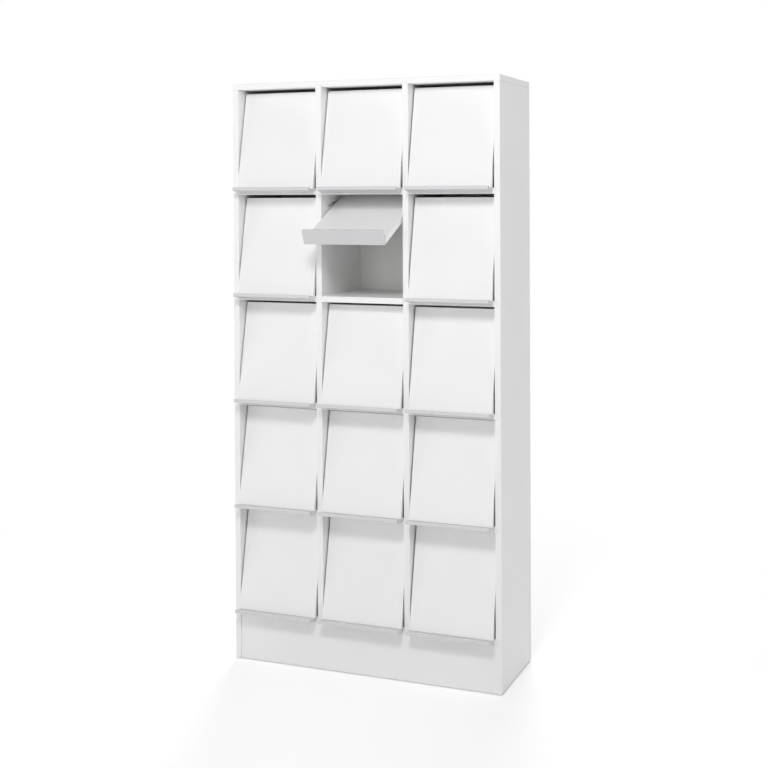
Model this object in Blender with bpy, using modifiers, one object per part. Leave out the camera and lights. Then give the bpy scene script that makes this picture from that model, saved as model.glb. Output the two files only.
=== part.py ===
"""Literature rack: a tall display cabinet whose compartments close with lift-up flaps.

Metres, +Z up, +X to the right and +Y to the back for someone who stands in front of it. The
origin is on the floor, in the middle of the space that the rack takes up as it stands, with the
flaps in LIFTED_FLAPS lifted and the others closed. Rows count from the top, columns from the left.

The shelves and the dividers are halved into each other, and the boards' ends are housed in the
boards that hold them. Each flap turns on a rod that runs through it near its upper end. The
rod's ends slide in grooves in the compartment's walls. Lifting a flap turns it while its rod
goes back and up the grooves, until its upper end is close under the board above.
"""
import math

import bmesh
import bpy
from mathutils import Matrix, Vector

# Carcase
COLUMNS = 3
ROWS = 5
BAY_WIDTH = 0.277
BAY_HEIGHT = 0.323
DEPTH = 0.330
BOARD = 0.019
BACK_BOARD = 0.006
BACK_INSET = 0.005
HOUSING_DEPTH = 0.006
EDGE_BEVEL = 0.0008

# Plinth, with a plastic strip under each side
PLINTH_HEIGHT = 0.151
PLINTH_SETBACK = 0.004
REAR_RAIL_INSET = 0.030
STRIP_HEIGHT = 0.003
STRIP_EDGE_INSET = 0.002
STRIP_END_INSET = 0.010
STRIP_RIB_WIDTH = 0.004
STRIP_RIB_HEIGHT = 0.008

# Air between pieces that touch
SEAT_GAP = 0.0003

# Flaps, with their lean measured from upright
LIFTED_FLAPS = ["r2c2"]
FLAP_BOARD = 0.016
FLAP_SIDE_GAP = 0.004
FLAP_TOP_GAP = 0.010
FLAP_OVERLAP = 0.0145
FLAP_ROUNDING = 0.0012
CLOSED_LEAN = math.radians(12.0)
FLAP_SWING = math.radians(53.5)
LIFTED_TOP_GAP = 0.0015
LIP_DEPTH = 0.048
LIP_BOARD = 0.011
TONGUE_WIDTH = 0.005
TONGUE_HEIGHT = 0.006
TONGUE_END_INSET = 0.008

# Rods and grooves
ROD_DIAMETER = 0.006
ROD_CHAMFER = 0.0005
ROD_FROM_FLAP_TOP = 0.025
ROD_IN_GROOVE = 0.006
GROOVE_RUN = 0.0858
GROOVE_END_CLEARANCE = 0.001
RUNNING_CLEARANCE = 0.0003

# Sides of round shapes
ROUND_SIDES = 16

# Overall sizes
WIDTH = COLUMNS * BAY_WIDTH + (COLUMNS + 1) * BOARD
HEIGHT = PLINTH_HEIGHT + ROWS * BAY_HEIGHT + (ROWS + 1) * BOARD
TOP_UNDERSIDE = HEIGHT - BOARD
SIDE_FOOT = STRIP_HEIGHT + SEAT_GAP
BACK_FACE = DEPTH - BACK_INSET - BACK_BOARD
SHELF_DEPTH = BACK_FACE - SEAT_GAP
FLAP_WIDTH = BAY_WIDTH - 2 * FLAP_SIDE_GAP
LIFTED_LEAN = CLOSED_LEAN + FLAP_SWING


def corner_rise(lean):
    """Height of a leaning flap's upper front corner over its rod."""
    return ROD_FROM_FLAP_TOP * math.cos(lean) + FLAP_BOARD / 2 * math.sin(lean)


# Closed, the flap's upper end stays under the board above and its back rests on the shelf's edge
ROD_HEIGHT = BAY_HEIGHT - FLAP_TOP_GAP - corner_rise(CLOSED_LEAN)
ROD_BEHIND = (
    ROD_HEIGHT * math.sin(CLOSED_LEAN) - SEAT_GAP - FLAP_BOARD / 2
) / math.cos(CLOSED_LEAN)

# The groove climbs until the lifted flap's corner is just under the board above
GROOVE_RISE = (
    FLAP_TOP_GAP - LIFTED_TOP_GAP + corner_rise(CLOSED_LEAN) - corner_rise(LIFTED_LEAN)
)

# The lip's underside hangs FLAP_OVERLAP under the shelf's top
FLAP_BELOW_ROD = (
    ROD_HEIGHT + FLAP_OVERLAP - FLAP_BOARD / 2 * math.sin(CLOSED_LEAN)
) / math.cos(CLOSED_LEAN)
LIP_FRONT = LIP_DEPTH - FLAP_BOARD / 2


def reach(lean, rod_behind):
    """How far a leaning flap's lip stands out in front of the carcase."""
    return FLAP_BELOW_ROD * math.sin(lean) + LIP_FRONT * math.cos(lean) - rod_behind


# The carcase's front stands where the whole rack is centred on the origin
FRONT_REACH = (
    reach(LIFTED_LEAN, ROD_BEHIND + GROOVE_RUN) if LIFTED_FLAPS else reach(CLOSED_LEAN, ROD_BEHIND)
)
FRONT = (FRONT_REACH - DEPTH) / 2

# Directions along the rack
ACROSS = Vector((1, 0, 0))
UP = Vector((0, 0, 1))

DIVIDERS = [f"divider_{number}" for number in range(1, COLUMNS)]
UPRIGHTS = ["side_left", *DIVIDERS, "side_right"]
SIDES = ["side_left", "side_right"]

parts = bpy.data.collections.new("literature_rack")
cutters = bpy.data.collections.new("cutters")

# What is to be cut from each board, by the board's name
cuts = {}


def clear_scene():
    for item in list(bpy.data.objects):
        bpy.data.objects.remove(item, do_unlink=True)
    for group in (parts, cutters):
        bpy.context.scene.collection.children.link(group)


def material(name, colour, roughness, metallic=0.0):
    """A plain finish, made once and then shared by its name."""
    if name in bpy.data.materials:
        return bpy.data.materials[name]
    made = bpy.data.materials.new(name)
    made.use_nodes = True
    shader = made.node_tree.nodes["Principled BSDF"]
    shader.inputs["Base Color"].default_value = (*colour, 1.0)
    shader.inputs["Roughness"].default_value = roughness
    shader.inputs["Metallic"].default_value = metallic
    return made


def carcase_white():
    return material("carcase_white", (0.90, 0.90, 0.90), 0.45)


def back_white():
    return material("back_white", (0.86, 0.86, 0.85), 0.55)


def flap_white():
    return material("flap_white", (0.92, 0.92, 0.92), 0.40)


def lip_grey():
    return material("lip_grey", (0.66, 0.66, 0.68), 0.40)


def rod_steel():
    return material("rod_steel", (0.55, 0.55, 0.56), 0.35, 1.0)


def strip_plastic():
    return material("strip_plastic", (0.10, 0.10, 0.10), 0.55)


def mesh_from(shape, name):
    made = bpy.data.meshes.new(name)
    shape.to_mesh(made)
    shape.free()
    return made


def add_piece(name, mesh, finish, parent=None):
    """Put a mesh into the rack as a named piece."""
    if not mesh.materials:
        mesh.materials.append(finish)
    piece = bpy.data.objects.new(name, mesh)
    piece.parent = parent
    parts.objects.link(piece)
    return piece


def add_helper(name, mesh):
    """An object that only shapes others, out of the render."""
    helper = bpy.data.objects.new(name, mesh)
    helper.hide_render = True
    helper.display_type = "WIRE"
    cutters.objects.link(helper)
    return helper


def round_edges(item, width, segments):
    bevel = item.modifiers.new("edges", "BEVEL")
    bevel.width = width
    bevel.segments = segments
    bevel.limit_method = "ANGLE"


def combine(item, operation, tool):
    boolean = item.modifiers.new(operation.lower(), "BOOLEAN")
    boolean.operation = operation
    boolean.solver = "EXACT"
    boolean.use_self = True
    boolean.object = tool


def evaluated(item, *tools):
    """The mesh of an object with its modifiers applied. The object and its tools are removed."""
    bpy.context.view_layer.update()
    ready = item.evaluated_get(bpy.context.evaluated_depsgraph_get())
    made = bpy.data.meshes.new_from_object(ready)
    for helper in (item, *tools):
        bpy.data.objects.remove(helper)
    return made


def add_box(shape, low, high):
    """A box between two corners."""
    low = Vector(low)
    size = Vector(high) - low
    place = Matrix.Translation(low + size / 2) @ Matrix.Diagonal((*size, 1.0))
    bmesh.ops.create_cube(shape, size=1.0, matrix=place)


def box_mesh(name, low, high):
    shape = bmesh.new()
    add_box(shape, low, high)
    return mesh_from(shape, name)


def add_bar(shape, half_length, diameter):
    """A bar along X about the origin, with a flat facet on each side. Returns its vertices."""
    turn = Matrix.Rotation(math.pi / 2, 4, "Y") @ Matrix.Rotation(math.pi / ROUND_SIDES, 4, "Z")
    made = bmesh.ops.create_cone(
        shape, cap_ends=True, segments=ROUND_SIDES, radius1=diameter / 2, radius2=diameter / 2,
        depth=2 * half_length, matrix=turn,
    )
    return made["verts"]


def upright_left(index):
    """Left face of an upright, counted from 0 at the left."""
    return index * (BAY_WIDTH + BOARD) - WIDTH / 2


def bay_left(column):
    return upright_left(column - 1) + BOARD


def row_floor(row):
    """Top of the board under a row."""
    return TOP_UNDERSIDE - row * BAY_HEIGHT - (row - 1) * BOARD


def rod_place(row, lifted):
    """Depth and height of the rods in a row."""
    return Vector((
        0.0,
        FRONT + ROD_BEHIND + (GROOVE_RUN if lifted else 0.0),
        row_floor(row) + ROD_HEIGHT + (GROOVE_RISE if lifted else 0.0),
    ))


def cutter_for(board):
    """The shape that gathers what is cut from a board."""
    if board not in cuts:
        cuts[board] = bmesh.new()
    return cuts[board]


def clear_from(boards, low, high):
    """Clear a box, with air round it, from the boards that it enters."""
    air = Vector((SEAT_GAP, SEAT_GAP, SEAT_GAP))
    for board in boards:
        add_box(cutter_for(board), Vector(low) - air, Vector(high) + air)


def add_board(name, low, high, finish, housed_in=()):
    """A board between two corners, its ends housed in other boards."""
    round_edges(add_piece(name, box_mesh(name, low, high), finish), EDGE_BEVEL, 1)
    clear_from(housed_in, low, high)


def housed_ends():
    """Left and right end of a board that reaches from side to side."""
    left = bay_left(1) - HOUSING_DEPTH
    return left, -left


def build_sides():
    for name, index in zip(SIDES, (0, COLUMNS)):
        left = upright_left(index)
        add_board(
            name, (left, FRONT, SIDE_FOOT),
            (left + BOARD, FRONT + DEPTH, TOP_UNDERSIDE - SEAT_GAP), carcase_white(),
        )


def build_top_panel():
    """The top panel lies over the sides."""
    add_board(
        "top_panel", (-WIDTH / 2, FRONT, TOP_UNDERSIDE), (WIDTH / 2, FRONT + DEPTH, HEIGHT),
        carcase_white(),
    )


def build_bottom_panel():
    left, right = housed_ends()
    add_board(
        "bottom_panel", (left, FRONT, PLINTH_HEIGHT),
        (right, FRONT + SHELF_DEPTH, PLINTH_HEIGHT + BOARD), carcase_white(), SIDES,
    )


def build_dividers():
    foot = PLINTH_HEIGHT + BOARD - HOUSING_DEPTH
    top = TOP_UNDERSIDE + HOUSING_DEPTH
    for index, name in enumerate(DIVIDERS, start=1):
        left = upright_left(index)
        add_board(
            name, (left, FRONT, foot), (left + BOARD, FRONT + SHELF_DEPTH, top),
            carcase_white(), ("top_panel", "bottom_panel"),
        )


def build_shelves():
    """Shelves pass through the dividers' rear halves, and the dividers through their front ones."""
    left, right = housed_ends()
    half = FRONT + SHELF_DEPTH / 2
    for row in range(1, ROWS):
        name = f"shelf_{row}"
        top = row_floor(row)
        low = Vector((left, FRONT, top - BOARD))
        high = Vector((right, FRONT + SHELF_DEPTH, top))
        add_board(name, low, high, carcase_white(), SIDES)
        clear_from(DIVIDERS, (left, half + SEAT_GAP / 2, low.z), high)
        for index in range(1, COLUMNS):
            divider = upright_left(index)
            end = half - SEAT_GAP / 2
            clear_from([name], (divider, FRONT, low.z), (divider + BOARD, end, high.z))


def build_back_panel():
    """The back panel stands in grooves of the sides and the top panel, behind the shelves."""
    left, right = housed_ends()
    add_board(
        "back_panel", (left, FRONT + BACK_FACE, PLINTH_HEIGHT),
        (right, FRONT + BACK_FACE + BACK_BOARD, TOP_UNDERSIDE + HOUSING_DEPTH), back_white(),
        (*SIDES, "top_panel"),
    )


def build_plinth_rails():
    left, right = housed_ends()
    fronts = {"plinth_front": PLINTH_SETBACK, "plinth_rear": BACK_FACE - REAR_RAIL_INSET - BOARD}
    for name, front in fronts.items():
        add_board(
            name, (left, FRONT + front, SIDE_FOOT),
            (right, FRONT + front + BOARD, PLINTH_HEIGHT - SEAT_GAP), carcase_white(), SIDES,
        )


def build_foot_strips():
    """A plastic strip under each side, with a rib that is pressed into the side's lower edge."""
    for index, side in zip((0, COLUMNS), SIDES):
        left = upright_left(index)
        middle = left + BOARD / 2
        front = FRONT + STRIP_END_INSET
        rear = FRONT + DEPTH - STRIP_END_INSET
        strip = add_helper("strip", box_mesh(
            "strip", (left + STRIP_EDGE_INSET, front, 0.0),
            (left + BOARD - STRIP_EDGE_INSET, rear, STRIP_HEIGHT),
        ))
        low = Vector((middle - STRIP_RIB_WIDTH / 2, front, STRIP_HEIGHT / 2))
        high = Vector((middle + STRIP_RIB_WIDTH / 2, rear, STRIP_HEIGHT + STRIP_RIB_HEIGHT))
        rib = add_helper("rib", box_mesh("rib", low, high))
        combine(strip, "UNION", rib)
        name = side.replace("side", "foot_strip")
        add_piece(name, evaluated(strip, rib), strip_plastic())
        clear_from([side], low, high)


def cut_grooves():
    """The rods' grooves, in each face of an upright that looks into a compartment."""
    slope = Matrix.Rotation(math.atan2(GROOVE_RISE, GROOVE_RUN), 4, "X")
    half_length = math.hypot(GROOVE_RISE, GROOVE_RUN) / 2
    width = ROD_DIAMETER + 2 * RUNNING_CLEARANCE
    depth = ROD_IN_GROOVE + GROOVE_END_CLEARANCE
    for row in range(1, ROWS + 1):
        middle = (rod_place(row, False) + rod_place(row, True)) / 2
        for column in range(1, COLUMNS + 1):
            walls = (bay_left(column), bay_left(column) + BAY_WIDTH)
            for upright, wall in zip(UPRIGHTS[column - 1:column + 1], walls):
                shape = cutter_for(upright)
                verts = add_bar(shape, depth, width)
                for vert in verts:
                    vert.co.y += math.copysign(half_length, vert.co.y)
                place = Matrix.Translation(middle + wall * ACROSS) @ slope
                bmesh.ops.transform(shape, verts=verts, matrix=place)


def tongue_box(air):
    """Corners of the lip's tongue, or of its slot in the panel where air is added round it."""
    half = FLAP_WIDTH / 2 - TONGUE_END_INSET + air
    root = LIP_BOARD - FLAP_BELOW_ROD
    low = (-half, -TONGUE_WIDTH / 2 - air, root - LIP_BOARD / 2)
    high = (half, TONGUE_WIDTH / 2 + air, root + TONGUE_HEIGHT + air)
    return low, high


def flap_panel():
    """The display board, with its rod's line at the origin and its upper end up."""
    board = add_helper("board", box_mesh(
        "flap_panel", (-FLAP_WIDTH / 2, -FLAP_BOARD / 2, LIP_BOARD + SEAT_GAP - FLAP_BELOW_ROD),
        (FLAP_WIDTH / 2, FLAP_BOARD / 2, ROD_FROM_FLAP_TOP),
    ))
    round_edges(board, FLAP_ROUNDING, 2)
    shape = bmesh.new()
    add_bar(shape, BAY_WIDTH / 2, ROD_DIAMETER + 2 * RUNNING_CLEARANCE)
    add_box(shape, *tongue_box(SEAT_GAP))
    tool = add_helper("bore_and_slot", mesh_from(shape, "bore_and_slot"))
    combine(board, "DIFFERENCE", tool)
    return evaluated(board, tool)


def flap_lip():
    """The ledge across the flap's foot, made about the same origin as the panel."""
    board = add_helper("board", box_mesh(
        "flap_lip", (-FLAP_WIDTH / 2, -LIP_FRONT, -FLAP_BELOW_ROD),
        (FLAP_WIDTH / 2, FLAP_BOARD / 2, LIP_BOARD - FLAP_BELOW_ROD),
    ))
    round_edges(board, FLAP_ROUNDING, 2)
    tongue = add_helper("tongue", box_mesh("tongue", *tongue_box(0.0)))
    combine(board, "UNION", tongue)
    return evaluated(board, tongue)


def pivot_rod():
    """The rod that a flap turns on, with chamfered ends that reach into the grooves."""
    radius = ROD_DIAMETER / 2
    end = BAY_WIDTH / 2 + ROD_IN_GROOVE
    shoulder = end - ROD_CHAMFER
    profile = [
        (0.0, end), (radius - ROD_CHAMFER, end), (radius, shoulder),
        (radius, -shoulder), (radius - ROD_CHAMFER, -end), (0.0, -end),
    ]
    outline = bpy.data.meshes.new("pivot_rod")
    points = [(offset, 0.0, height) for offset, height in profile]
    outline.from_pydata(points, [(place, place + 1) for place in range(len(points) - 1)], [])
    rod = add_helper("rod", outline)
    turn = rod.modifiers.new("turn", "SCREW")
    turn.steps = ROUND_SIDES
    turn.render_steps = ROUND_SIDES
    turn.use_merge_vertices = True
    turn.merge_threshold = 0.00001
    made = evaluated(rod)
    made.transform(Matrix.Rotation(math.pi / 2, 4, "Y"))
    made.shade_smooth()
    made.set_sharp_from_angle(angle=math.radians(35))
    return made


def build_flaps():
    """Each flap and its rod hang on an empty that lies on the line the flap turns about."""
    panel = flap_panel()
    lip = flap_lip()
    rod = pivot_rod()
    for row in range(1, ROWS + 1):
        for column in range(1, COLUMNS + 1):
            tag = f"r{row}c{column}"
            lifted = tag in LIFTED_FLAPS
            line = bpy.data.objects.new(f"rod_line_{tag}", None)
            line.location = rod_place(row, lifted) + (bay_left(column) + BAY_WIDTH / 2) * ACROSS
            parts.objects.link(line)
            add_piece(f"pivot_rod_{tag}", rod, rod_steel(), line)
            for name, mesh, finish in (
                ("flap_panel", panel, flap_white()), ("flap_lip", lip, lip_grey()),
            ):
                piece = add_piece(f"{name}_{tag}", mesh, finish, line)
                piece.rotation_euler.x = -(LIFTED_LEAN if lifted else CLOSED_LEAN)


def cut_boards():
    """Cut every board with what was gathered for it."""
    for board, shape in cuts.items():
        tool = add_helper(f"{board}_cuts", mesh_from(shape, f"{board}_cuts"))
        combine(parts.objects[board], "DIFFERENCE", tool)


def main():
    clear_scene()
    build_sides()
    build_top_panel()
    build_bottom_panel()
    build_dividers()
    build_shelves()
    build_back_panel()
    build_plinth_rails()
    build_foot_strips()
    cut_grooves()
    build_flaps()
    cut_boards()


main()
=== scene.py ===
"""Looks of the literature rack: finishes, back-panel screws, floor, light and camera.

Metres, in the part's own frame: +X to the right, +Y to the back, +Z up, floor at Z = 0.
"""
import math

import bmesh
import bpy
from mathutils import Matrix, Vector


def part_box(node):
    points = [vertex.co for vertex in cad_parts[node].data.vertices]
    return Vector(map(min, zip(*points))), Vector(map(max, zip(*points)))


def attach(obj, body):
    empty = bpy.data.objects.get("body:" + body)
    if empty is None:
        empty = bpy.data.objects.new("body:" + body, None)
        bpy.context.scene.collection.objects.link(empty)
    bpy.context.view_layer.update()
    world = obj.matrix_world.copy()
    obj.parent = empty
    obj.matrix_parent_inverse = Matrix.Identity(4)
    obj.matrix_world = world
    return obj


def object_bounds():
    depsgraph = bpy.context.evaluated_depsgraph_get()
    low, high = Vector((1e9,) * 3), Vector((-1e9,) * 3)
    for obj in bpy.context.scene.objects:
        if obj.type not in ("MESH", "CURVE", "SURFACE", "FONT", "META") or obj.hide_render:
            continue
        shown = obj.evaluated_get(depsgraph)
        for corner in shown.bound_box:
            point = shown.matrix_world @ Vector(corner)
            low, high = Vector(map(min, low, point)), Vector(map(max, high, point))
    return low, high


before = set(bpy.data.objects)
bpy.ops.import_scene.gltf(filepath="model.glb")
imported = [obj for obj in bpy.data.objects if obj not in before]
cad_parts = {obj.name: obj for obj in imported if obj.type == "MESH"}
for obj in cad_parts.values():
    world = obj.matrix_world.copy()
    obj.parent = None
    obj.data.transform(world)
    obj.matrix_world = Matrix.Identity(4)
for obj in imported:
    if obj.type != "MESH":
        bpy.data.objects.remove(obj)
CAD_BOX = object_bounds()

IMAGE_SIDE = 768

# Camera, measured from the foot of the carcase's left front corner
CAMERA_RIGHT = 2.052
CAMERA_AHEAD = 3.782
CAMERA_HEIGHT = 1.518
CAMERA_YAW = math.radians(21.92)
CAMERA_PITCH = math.radians(0.594)
CAMERA_ROLL = math.radians(0.257)
FOCAL_PIXELS = 1307.6
OPTICAL_CENTRE_ROW = 208.2
SENSOR = 36.0
CLIP_END = 160.0

# Round soft lamps, aimed at the rack's middle. Strength 1 lights a surface that faces the lamp
# from there as brightly as a surround of strength 1 would.
LAMPS = {
    "key": {"place": (0.6, -2.4, 2.65), "size": 0.65, "strength": 0.335},
    "front_fill": {"place": (-0.6, -8.0, 1.6), "size": 4.0, "strength": 0.14},
    "left_fill": {"place": (-2.5, -1.0, 1.5), "size": 2.6, "strength": 0.26},
    "right_fill": {"place": (7.6, -0.6, 3.0), "size": 4.0, "strength": 0.22},
    "back_fill": {"place": (-1.5, 6.0, 6.0), "size": 3.0, "strength": 0.42},
}
AMBIENT = 0.32
WHITE = (1.0, 1.0, 1.0, 1.0)

# Floor. Seen directly it is lifted towards white, and is white from FLOOR_FAR on.
FLOOR_HALF = 40.0
FLOOR_DARK = (0.74, 0.74, 0.74)
FLOOR_LIGHT = (0.75, 0.75, 0.75)
FLOOR_ROUGHNESS = 0.9
FLOOR_CLOUDS = 1.5
FLOOR_LIFT = 0.35
FLOOR_NEAR = 1.0
FLOOR_FAR = 2.4

# The part of a noise's range that its values fill
NOISE_RANGE = (0.3, 0.7)

# Faced boards: the tones of the face's faint clouds and of the edges, the mean roughness, and
# the scale and depth of the grain. The edge tone is wear, darker on the white boards; on the grey
# lip it is lighter, partly wear and partly a painted highlight on the edges.
FACED_BOARDS = {
    "white_melamine": {
        "dark": (0.886, 0.886, 0.882), "light": (0.900, 0.900, 0.897),
        "edge_wear_and_highlight": (0.820, 0.815, 0.800), "roughness": 0.45, "grain": 900.0, "depth": 0.00004,
    },
    "white_lacquer": {
        "dark": (0.872, 0.872, 0.874), "light": (0.885, 0.885, 0.888),
        "edge_wear_and_highlight": (0.815, 0.812, 0.805), "roughness": 0.36, "grain": 420.0, "depth": 0.00002,
    },
    # The lip's lighter edge tone is partly wear and partly a painted highlight along its edges.
    "grey_lacquer": {
        "dark": (0.636, 0.636, 0.648), "light": (0.650, 0.650, 0.662),
        "edge_wear_and_highlight": (0.690, 0.690, 0.700), "roughness": 0.40, "grain": 420.0, "depth": 0.00002,
    },
    "white_fibreboard": {
        "dark": (0.855, 0.855, 0.842), "light": (0.875, 0.875, 0.862),
        "edge_wear_and_highlight": (0.760, 0.740, 0.700), "roughness": 0.60, "grain": 1400.0, "depth": 0.00006,
    },
}
CLOUD_SCALE = 5.0
GRAIN_DETAIL = 2.0
GRAIN_ROUGHNESS = 0.05

# Edges, with wear on the white boards, and on the grey lip partly wear and partly a painted
# highlight: their reach, the rays that look for an edge, the cosine of the turn at which an
# edge counts in full, and the scale and the most of the patches
WEAR_AND_HIGHLIGHT_REACH = 0.0015
WEAR_AND_HIGHLIGHT_RAYS = 6
WEAR_AND_HIGHLIGHT_COSINE = 0.85
WEAR_AND_HIGHLIGHT_SCALE = 30.0
WEAR_AND_HIGHLIGHT_MOST = 0.6

# Metal and plastic. "marks" is the noise of tone and roughness and "relief" that of the surface,
# each with its scale, detail and stretch along the axes.
MARKED_FINISHES = {
    # Drawn rod, with lines along its length
    "drawn_steel": {
        "metallic": 1.0, "dark": (0.50, 0.50, 0.51), "light": (0.64, 0.64, 0.65),
        "roughness": (0.24, 0.38), "marks": (400.0, 4.0, (0.03, 1.0, 1.0)),
        "relief": (400.0, 4.0, (0.03, 1.0, 1.0)), "depth": 0.00003,
    },
    # Bright plating, slightly clouded
    "zinc_plating": {
        "metallic": 1.0, "dark": (0.58, 0.58, 0.57), "light": (0.70, 0.70, 0.70),
        "roughness": (0.28, 0.42), "marks": (300.0, 3.0, (1.0, 1.0, 1.0)),
        "relief": (300.0, 3.0, (1.0, 1.0, 1.0)), "depth": 0.00003,
    },
    # Extruded plastic, with dull scuffs along its length
    "dark_plastic": {
        "metallic": 0.0, "dark": (0.060, 0.060, 0.062), "light": (0.095, 0.095, 0.095),
        "roughness": (0.42, 0.60), "marks": (60.0, 5.0, (1.0, 0.1, 1.0)),
        "relief": (1500.0, 3.0, (1.0, 1.0, 1.0)), "depth": 0.00004,
    },
}

# Screws of the back panel
SCREW_HEAD_RADIUS = 0.004
SCREW_HEAD_HEIGHT = 0.0022
SCREW_HEAD_SIDES = 24
SCREW_HEAD_RINGS = 12
SCREW_RECESS_LENGTH = 0.0042
SCREW_RECESS_WIDTH = 0.0009
SCREW_RECESS_DEPTH = 0.0012
SCREW_SMOOTH_ANGLE = math.radians(40)
SCREW_TURN = math.radians(37)
TINY = 1e-6


def node_names(start):
    return sorted(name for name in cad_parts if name.startswith(start))


def link(item):
    bpy.context.scene.collection.objects.link(item)


def mesh_from(shape, name):
    made = bpy.data.meshes.new(name)
    shape.to_mesh(made)
    shape.free()
    return made


def add_material(name):
    """A material with its node tree and shader."""
    made = bpy.data.materials.new(name)
    made.use_nodes = True
    tree = made.node_tree
    return made, tree, tree.nodes["Principled BSDF"]


def add_node(tree, kind, **settings):
    """A node with its inputs or its own properties set."""
    made = tree.nodes.new(kind)
    for key, value in settings.items():
        if key in made.inputs:
            made.inputs[key].default_value = value
        else:
            setattr(made, key, value)
    return made


def object_noise(tree, scale, detail=3.0, stretch=(1.0, 1.0, 1.0)):
    """Noise that is fixed to the piece and can be stretched along its axes."""
    place = add_node(tree, "ShaderNodeTexCoord")
    mapping = add_node(tree, "ShaderNodeMapping", Scale=stretch)
    noise = add_node(tree, "ShaderNodeTexNoise", Scale=scale, Detail=detail)
    tree.links.new(place.outputs["Object"], mapping.inputs["Vector"])
    tree.links.new(mapping.outputs["Vector"], noise.inputs["Vector"])
    return noise.outputs["Fac"]


def map_range(tree, value, source, target=(0.0, 1.0), interpolation="LINEAR"):
    """A value carried over from one range to another, and kept inside it."""
    made = add_node(tree, "ShaderNodeMapRange", interpolation_type=interpolation)
    limits = zip(("From Min", "From Max", "To Min", "To Max"), (*source, *target))
    for socket, limit in limits:
        made.inputs[socket].default_value = limit
    tree.links.new(value, made.inputs["Value"])
    return made.outputs["Result"]


def spread(tree, noise, low=0.0, high=1.0):
    """A noise spread between two numbers."""
    return map_range(tree, noise, NOISE_RANGE, (low, high))


def mix_colours(tree, factor, first, second):
    """Two colours mixed by a value. Each is a colour or the output of another node."""
    mix = add_node(tree, "ShaderNodeMix", data_type="RGBA")
    tree.links.new(factor, mix.inputs["Factor"])
    for colour, socket in ((first, mix.inputs["A"]), (second, mix.inputs["B"])):
        if isinstance(colour, tuple):
            socket.default_value = (*colour, 1.0)
        else:
            tree.links.new(colour, socket)
    return mix.outputs["Result"]


def edge_mask(tree):
    """1 where an edge is near, 0 on the flat."""
    bevel = add_node(tree, "ShaderNodeBevel", samples=WEAR_AND_HIGHLIGHT_RAYS, Radius=WEAR_AND_HIGHLIGHT_REACH)
    geometry = add_node(tree, "ShaderNodeNewGeometry")
    dot = add_node(tree, "ShaderNodeVectorMath", operation="DOT_PRODUCT")
    tree.links.new(bevel.outputs["Normal"], dot.inputs[0])
    tree.links.new(geometry.outputs["Normal"], dot.inputs[1])
    return map_range(tree, dot.outputs["Value"], (1.0, WEAR_AND_HIGHLIGHT_COSINE))


def add_bump(tree, shader, height, distance):
    bump = add_node(tree, "ShaderNodeBump", Distance=distance, Strength=1.0)
    tree.links.new(height, bump.inputs["Height"])
    tree.links.new(bump.outputs["Normal"], shader.inputs["Normal"])


def faced_board(name):
    """A faced board: faint clouds in its tone, a fine grain, and a little wear on its edges.
    On the grey lip the lighter edges are partly wear and partly a painted highlight.
    """
    values = FACED_BOARDS[name]
    made, tree, shader = add_material(name)
    clouds = spread(tree, object_noise(tree, CLOUD_SCALE))
    face = mix_colours(tree, clouds, values["dark"], values["light"])
    wear_and_highlight_mask = add_node(tree, "ShaderNodeMath", operation="MULTIPLY")
    patches = spread(tree, object_noise(tree, WEAR_AND_HIGHLIGHT_SCALE), high=WEAR_AND_HIGHLIGHT_MOST)
    tree.links.new(edge_mask(tree), wear_and_highlight_mask.inputs[0])
    tree.links.new(patches, wear_and_highlight_mask.inputs[1])
    # Edge tone: wear, and on the grey lip also a painted highlight along the edges.
    colour = mix_colours(tree, wear_and_highlight_mask.outputs["Value"], face, values["edge_wear_and_highlight"])
    tree.links.new(colour, shader.inputs["Base Color"])
    grain = object_noise(tree, values["grain"], GRAIN_DETAIL)
    mean = values["roughness"]
    roughness = spread(tree, grain, mean - GRAIN_ROUGHNESS, mean + GRAIN_ROUGHNESS)
    tree.links.new(roughness, shader.inputs["Roughness"])
    add_bump(tree, shader, grain, values["depth"])
    return made


def marked_finish(name):
    """Metal or plastic whose tone, roughness and relief follow its marks."""
    values = MARKED_FINISHES[name]
    made, tree, shader = add_material(name)
    shader.inputs["Metallic"].default_value = values["metallic"]
    marks = object_noise(tree, *values["marks"])
    colour = mix_colours(tree, spread(tree, marks), values["dark"], values["light"])
    tree.links.new(colour, shader.inputs["Base Color"])
    tree.links.new(spread(tree, marks, *values["roughness"]), shader.inputs["Roughness"])
    add_bump(tree, shader, object_noise(tree, *values["relief"]), values["depth"])
    return made


def dress_frame():
    """Give every node of the frame its finish."""
    finishes = {
        "white_melamine": ("side_", "top_", "bottom_", "divider_", "shelf_", "plinth_"),
        "white_fibreboard": ("back_",),
        "white_lacquer": ("flap_panel_",),
        "grey_lacquer": ("flap_lip_",),
        "drawn_steel": ("pivot_rod_",),
        "dark_plastic": ("foot_strip_",),
    }
    for name, starts in finishes.items():
        finish = faced_board(name) if name in FACED_BOARDS else marked_finish(name)
        for start in starts:
            for node in node_names(start):
                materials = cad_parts[node].data.materials
                materials.clear()
                materials.append(finish)


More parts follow.
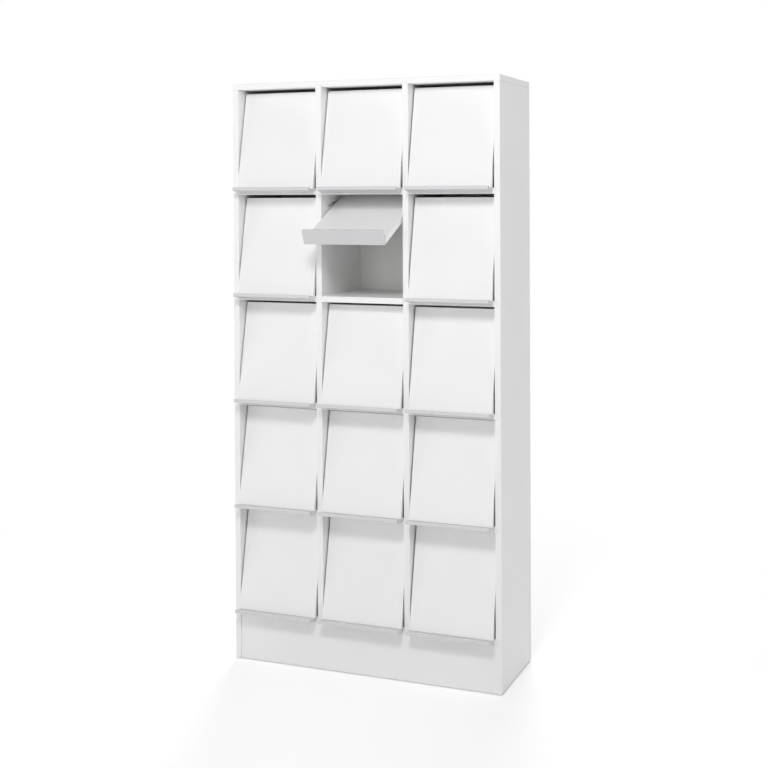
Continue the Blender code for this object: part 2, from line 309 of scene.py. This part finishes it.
def screw_head():
    """A low domed head, standing on the XY plane."""
    shape = bmesh.new()
    bmesh.ops.create_uvsphere(
        shape, u_segments=SCREW_HEAD_SIDES, v_segments=SCREW_HEAD_RINGS, radius=SCREW_HEAD_RADIUS,
    )
    flatten = Matrix.Diagonal((1.0, 1.0, SCREW_HEAD_HEIGHT / SCREW_HEAD_RADIUS, 1.0))
    bmesh.ops.transform(shape, matrix=flatten, verts=shape.verts)
    lower = [vert for vert in shape.verts if vert.co.z < -TINY]
    bmesh.ops.delete(shape, geom=lower, context="VERTS")
    rim = [edge for edge in shape.edges if edge.is_boundary]
    bmesh.ops.edgeloop_fill(shape, edges=rim)
    bmesh.ops.recalc_face_normals(shape, faces=shape.faces)
    mesh = mesh_from(shape, "screw_head")
    mesh.shade_smooth()
    mesh.set_sharp_from_angle(angle=SCREW_SMOOTH_ANGLE)
    return mesh


def recess():
    """The cross that is cut into a screw's head."""
    shape = bmesh.new()
    for length, width in (
        (SCREW_RECESS_LENGTH, SCREW_RECESS_WIDTH), (SCREW_RECESS_WIDTH, SCREW_RECESS_LENGTH),
    ):
        size = Matrix.Diagonal((length, width, 2 * SCREW_RECESS_DEPTH, 1.0))
        place = Matrix.Translation((0.0, 0.0, SCREW_HEAD_HEIGHT)) @ size
        bmesh.ops.create_cube(shape, size=1.0, matrix=place)
    return mesh_from(shape, "recess")


def join_doubles(mesh):
    """Join the vertices that the cut leaves in one place."""
    shape = bmesh.new()
    shape.from_mesh(mesh)
    bmesh.ops.remove_doubles(shape, verts=shape.verts, dist=TINY)
    shape.to_mesh(mesh)
    shape.free()


def cut_head():
    """The mesh of a screw head with its recess cut."""
    head = bpy.data.objects.new("screw_head", screw_head())
    tool = bpy.data.objects.new("recess", recess())
    for item in (head, tool):
        link(item)
    cut = head.modifiers.new("recess", "BOOLEAN")
    cut.operation = "DIFFERENCE"
    cut.use_self = True
    cut.object = tool
    bpy.context.view_layer.update()
    ready = head.evaluated_get(bpy.context.evaluated_depsgraph_get())
    made = bpy.data.meshes.new_from_object(ready)
    for item in (head, tool):
        bpy.data.objects.remove(item)
    join_doubles(made)
    return made


def add_back_screws():
    """Screws through the back panel: into each shelf, behind the middle of every column."""
    mesh = cut_head()
    mesh.materials.clear()
    mesh.materials.append(marked_finish("zinc_plating"))
    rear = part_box("back_panel")[1][1]
    walls = [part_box(name) for name in ("side_left", "divider_1", "divider_2", "side_right")]
    boards = [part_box(name) for name in (*node_names("shelf_"), "bottom_panel")]
    facing_back = Matrix.Rotation(math.radians(-90), 4, "X")
    number = 0
    for board in boards:
        height = (board[0][2] + board[1][2]) / 2
        for left, right in zip(walls, walls[1:]):
            number += 1
            middle = (left[1][0] + right[0][0]) / 2
            screw = bpy.data.objects.new(f"back_screw_{number}", mesh)
            turn = Matrix.Rotation(SCREW_TURN * number, 4, "Z")
            screw.matrix_world = Matrix.Translation((middle, rear, height)) @ facing_back @ turn
            link(screw)
            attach(screw, "carcase")


def seen_directly(tree):
    """1 for rays that show the background: the camera's, and those in gloss and glass."""
    path = add_node(tree, "ShaderNodeLightPath")
    total = path.outputs["Is Camera Ray"]
    for kind in ("Is Glossy Ray", "Is Transmission Ray"):
        either = add_node(tree, "ShaderNodeMath", operation="MAXIMUM")
        tree.links.new(total, either.inputs[0])
        tree.links.new(path.outputs[kind], either.inputs[1])
        total = either.outputs["Value"]
    return total


def mix_shaders(tree, factor, first, second):
    mix = add_node(tree, "ShaderNodeMixShader")
    tree.links.new(factor, mix.inputs["Fac"])
    tree.links.new(first, mix.inputs[1])
    tree.links.new(second, mix.inputs[2])
    return mix.outputs["Shader"]


def floor_finish():
    """Pale and matt. Seen directly it is lifted to white, more so away from the rack."""
    made, tree, shader = add_material("pale_floor")
    shader.inputs["Roughness"].default_value = FLOOR_ROUGHNESS
    clouds = spread(tree, object_noise(tree, FLOOR_CLOUDS))
    tree.links.new(mix_colours(tree, clouds, FLOOR_DARK, FLOOR_LIGHT), shader.inputs["Base Color"])

    lift = add_node(tree, "ShaderNodeEmission", Strength=FLOOR_LIFT)
    lifted = add_node(tree, "ShaderNodeAddShader")
    tree.links.new(shader.outputs["BSDF"], lifted.inputs[0])
    tree.links.new(lift.outputs["Emission"], lifted.inputs[1])

    place = add_node(tree, "ShaderNodeTexCoord")
    distance = add_node(tree, "ShaderNodeVectorMath", operation="LENGTH")
    tree.links.new(place.outputs["Object"], distance.inputs[0])
    away = map_range(
        tree, distance.outputs["Value"], (FLOOR_NEAR, FLOOR_FAR), interpolation="SMOOTHSTEP",
    )
    white = add_node(tree, "ShaderNodeEmission", Strength=1.0)
    seen = mix_shaders(tree, away, lifted.outputs["Shader"], white.outputs["Emission"])
    surface = mix_shaders(tree, seen_directly(tree), shader.outputs["BSDF"], seen)
    tree.links.new(surface, tree.nodes["Material Output"].inputs["Surface"])
    return made


def add_floor():
    shape = bmesh.new()
    bmesh.ops.create_grid(shape, x_segments=1, y_segments=1, size=FLOOR_HALF)
    mesh = mesh_from(shape, "floor")
    mesh.materials.append(floor_finish())
    floor = bpy.data.objects.new("floor", mesh)
    link(floor)


def add_world():
    """An even pale surround that shows as white where it is seen directly."""
    world = bpy.data.worlds.new("surround")
    bpy.context.scene.world = world
    world.use_nodes = True
    tree = world.node_tree
    even = tree.nodes["Background"]
    even.inputs["Color"].default_value = WHITE
    even.inputs["Strength"].default_value = AMBIENT
    white = add_node(tree, "ShaderNodeBackground", Color=WHITE, Strength=1.0)
    surface = mix_shaders(
        tree, seen_directly(tree), even.outputs["Background"], white.outputs["Background"],
    )
    tree.links.new(surface, tree.nodes["World Output"].inputs["Surface"])


def add_lamps():
    """Soft lamps: a key above the rack's front, and fills from front, sides and back."""
    middle = sum((Vector(corner) for corner in CAD_BOX), Vector()) / 2
    for name, values in LAMPS.items():
        lamp = bpy.data.lights.new(name, "AREA")
        lamp.shape = "DISK"
        lamp.size = values["size"]
        towards = Vector(values["place"]) - middle
        lamp.energy = values["strength"] * math.pi**2 * towards.length_squared
        placed = bpy.data.objects.new(name, lamp)
        placed.visible_camera = False
        placed.location = values["place"]
        placed.rotation_euler = towards.to_track_quat("Z", "Y").to_euler()
        link(placed)


def add_camera():
    """The photograph's view: turned to the left, and shifted down to keep uprights upright."""
    lens = bpy.data.cameras.new("camera")
    lens.sensor_width = SENSOR
    lens.lens = FOCAL_PIXELS / IMAGE_SIDE * SENSOR
    lens.shift_y = (OPTICAL_CENTRE_ROW - IMAGE_SIDE / 2) / IMAGE_SIDE
    lens.clip_end = CLIP_END
    camera = bpy.data.objects.new("camera", lens)

    level_right = Vector((math.cos(CAMERA_YAW), math.sin(CAMERA_YAW), 0.0))
    level_ahead = Vector((-math.sin(CAMERA_YAW), math.cos(CAMERA_YAW), 0.0))
    down = Vector((0.0, 0.0, -1.0))
    ahead = math.cos(CAMERA_PITCH) * level_ahead + math.sin(CAMERA_PITCH) * down
    pitched_down = math.cos(CAMERA_PITCH) * down - math.sin(CAMERA_PITCH) * level_ahead
    right = math.cos(CAMERA_ROLL) * level_right + math.sin(CAMERA_ROLL) * pitched_down
    rolled_down = math.cos(CAMERA_ROLL) * pitched_down - math.sin(CAMERA_ROLL) * level_right
    turn = Matrix((right, -rolled_down, -ahead)).transposed().to_4x4()

    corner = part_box("side_left")[0]
    place = Vector((corner[0] + CAMERA_RIGHT, corner[1] - CAMERA_AHEAD, CAMERA_HEIGHT))
    camera.matrix_world = Matrix.Translation(place) @ turn
    link(camera)
    bpy.context.scene.camera = camera


def main():
    add_camera()
    dress_frame()
    add_back_screws()
    add_floor()
    add_world()
    add_lamps()
    bpy.context.scene.view_settings.view_transform = "Standard"


main()
